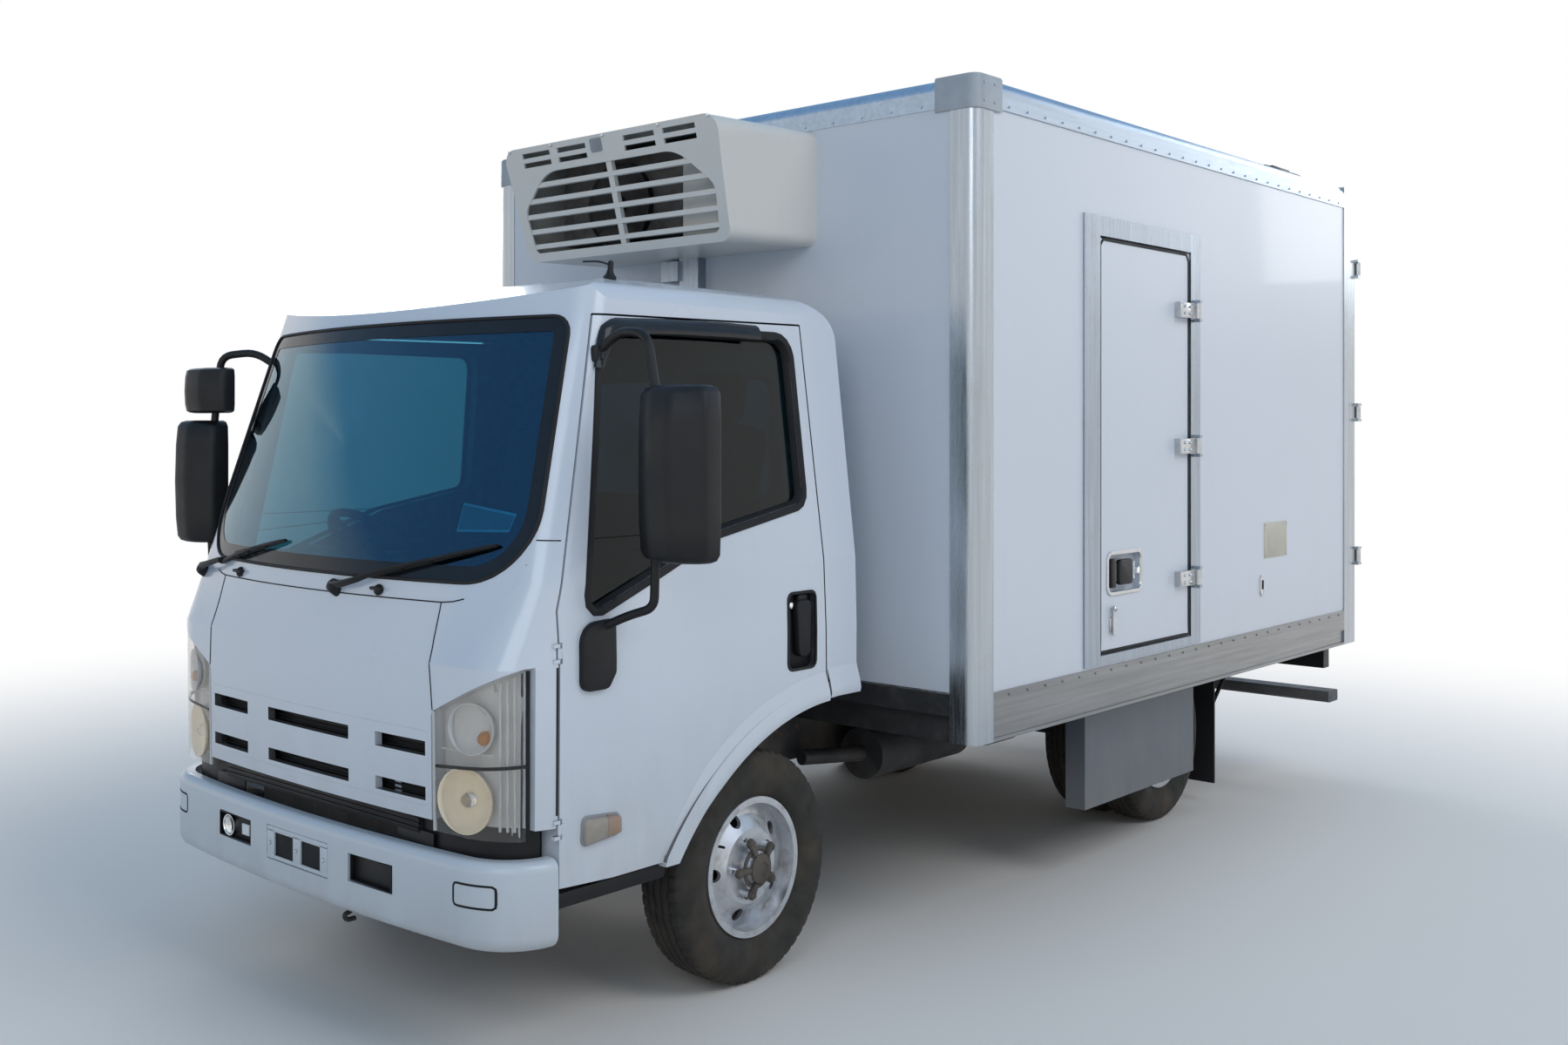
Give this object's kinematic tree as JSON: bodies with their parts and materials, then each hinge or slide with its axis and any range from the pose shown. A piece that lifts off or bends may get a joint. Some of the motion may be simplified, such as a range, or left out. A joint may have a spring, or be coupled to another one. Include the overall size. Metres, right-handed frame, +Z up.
{
  "type": "refrigerated truck",
  "caption": "Light cab-over refrigerated truck with a tilting cab, hinged doors, dual rear wheels, insulated white load box with a side door, and a nose-mounted cooling unit.",
  "frame": {"origin": "bottom centre of the bounding box, on the road under the truck's middle", "axes": "+X forward, +Y to the truck's left, +Z up"},
  "size_m": [5.318, 2.47, 2.8849],
  "materials": {
    "frame_black": "satin",
    "cast_iron": "matte",
    "tank_steel": "satin",
    "cab_white": "gloss",
    "cab_glass": "polished",
    "lamp_clear": "polished",
    "lamp_red": "polished",
    "black_plastic": "satin",
    "seat_fabric": "matte",
    "wheel_silver": "gloss",
    "tyre": "matte",
    "box_white": "satin",
    "aluminium": "satin",
    "stainless": "brushed",
    "rubber": "matte",
    "unit_cream": "satin",
    "coil": "matte"
  },
  "bodies": {
    "chassis": {"ladder_frame": "frame_black", "cross_members": "frame_black", "cab_hoop": "frame_black", "front_axle": "frame_black", "rear_axle": "frame_black", "engine_gearbox": "cast_iron", "fuel_tank": "tank_steel", "exhaust": "tank_steel", "front_bumper": "cab_white", "rear_step": "stainless", "rear_lamps": "lamp_red", "side_guards": "stainless", "mudflaps": "rubber", "box_floor": "aluminium", "box_front_wall": "box_white", "box_left_wall": "box_white", "box_right_wall": "box_white", "box_roof": "box_white", "box_rails": "aluminium", "corner_posts": "aluminium", "rear_portal": "stainless", "side_door_frame": "stainless", "condenser_cover": "unit_cream", "condenser_core": "coil", "evaporator": "unit_cream", "hose_duct": "aluminium"},
    "cab": {"cab_shell": "cab_white", "grille_panel": "cab_white", "headlamps": "lamp_clear", "cab_glass": "cab_glass", "wipers": "black_plastic", "seats": "seat_fabric", "dashboard": "black_plastic"},
    "steering_wheel": {"steering_wheel": "black_plastic"},
    "door_left": {"door_left": "cab_white", "door_left_glass": "cab_glass", "mirror_left": "black_plastic"},
    "door_right": {"door_right": "cab_white", "door_right_glass": "cab_glass", "mirror_right": "black_plastic"},
    "knuckle_left": {"knuckle_left": "frame_black"},
    "knuckle_right": {"knuckle_right": "frame_black"},
    "wheel_front_left": {"rim_front_left": "wheel_silver", "tyre_front_left": "tyre"},
    "wheel_front_right": {"rim_front_right": "wheel_silver", "tyre_front_right": "tyre"},
    "wheels_rear_left": {"rims_rear_left": "wheel_silver", "tyres_rear_left": "tyre"},
    "wheels_rear_right": {"rims_rear_right": "wheel_silver", "tyres_rear_right": "tyre"},
    "side_door": {"side_door": "box_white"},
    "rear_door_left": {"rear_door_left": "box_white"},
    "rear_door_right": {"rear_door_right": "box_white"}
  },
  "joints": [
    {"name": "cab_tilt", "type": "hinge", "parent": "chassis", "child": "cab", "pos_m": [2.541, 0, 0.62], "axis": [0, 1, 0], "range_deg": [0, 45]},
    {"name": "door_left_hinge", "type": "hinge", "parent": "cab", "child": "door_left", "pos_m": [2.418, 0.883, 0.9], "axis": [0, 0, -1], "range_deg": [0, 72]},
    {"name": "door_right_hinge", "type": "hinge", "parent": "cab", "child": "door_right", "pos_m": [2.418, -0.883, 0.9], "axis": [0, 0, 1], "range_deg": [0, 72]},
    {"name": "steer_left", "type": "hinge", "parent": "chassis", "child": "knuckle_left", "pos_m": [1.541, 0.62, 0.36], "axis": [0, 0, 1], "range_deg": [-38, 38]},
    {"name": "steer_right", "type": "hinge", "parent": "chassis", "child": "knuckle_right", "pos_m": [1.541, -0.62, 0.36], "axis": [0, 0, 1], "range_deg": [-38, 38]},
    {"name": "steering_wheel_turn", "type": "hinge", "parent": "cab", "child": "steering_wheel", "pos_m": [2.061, -0.4, 1.304], "axis": [-0.6871, 0, 0.7266], "range_deg": [-608, 608]},
    {"name": "wheel_front_left_spin", "type": "hinge", "parent": "knuckle_left", "child": "wheel_front_left", "pos_m": [1.541, 0.753, 0.36], "axis": [0, 1, 0], "continuous": true},
    {"name": "wheel_front_right_spin", "type": "hinge", "parent": "knuckle_right", "child": "wheel_front_right", "pos_m": [1.541, -0.753, 0.36], "axis": [0, 1, 0], "continuous": true},
    {"name": "wheels_rear_left_spin", "type": "hinge", "parent": "chassis", "child": "wheels_rear_left", "pos_m": [-1.229, 0.664, 0.36], "axis": [0, 1, 0], "continuous": true},
    {"name": "wheels_rear_right_spin", "type": "hinge", "parent": "chassis", "child": "wheels_rear_right", "pos_m": [-1.229, -0.664, 0.36], "axis": [0, 1, 0], "continuous": true},
    {"name": "side_door_hinge", "type": "hinge", "parent": "chassis", "child": "side_door", "pos_m": [-0.771, 1.217, 1.651], "axis": [0, 0, 1], "range_deg": [0, 165]},
    {"name": "rear_door_left_hinge", "type": "hinge", "parent": "chassis", "child": "rear_door_left", "pos_m": [-2.626, 1.196, 1.8], "axis": [0, 0, -1], "range_deg": [0, 240]},
    {"name": "rear_door_right_hinge", "type": "hinge", "parent": "chassis", "child": "rear_door_right", "pos_m": [-2.626, -1.196, 1.8], "axis": [0, 0, 1], "range_deg": [0, 240]}
  ],
  "couplings": [
    {"joint": "steer_right", "follows": "steer_left", "ratio": 1},
    {"joint": "steering_wheel_turn", "follows": "steer_left", "ratio": 16}
  ]
}
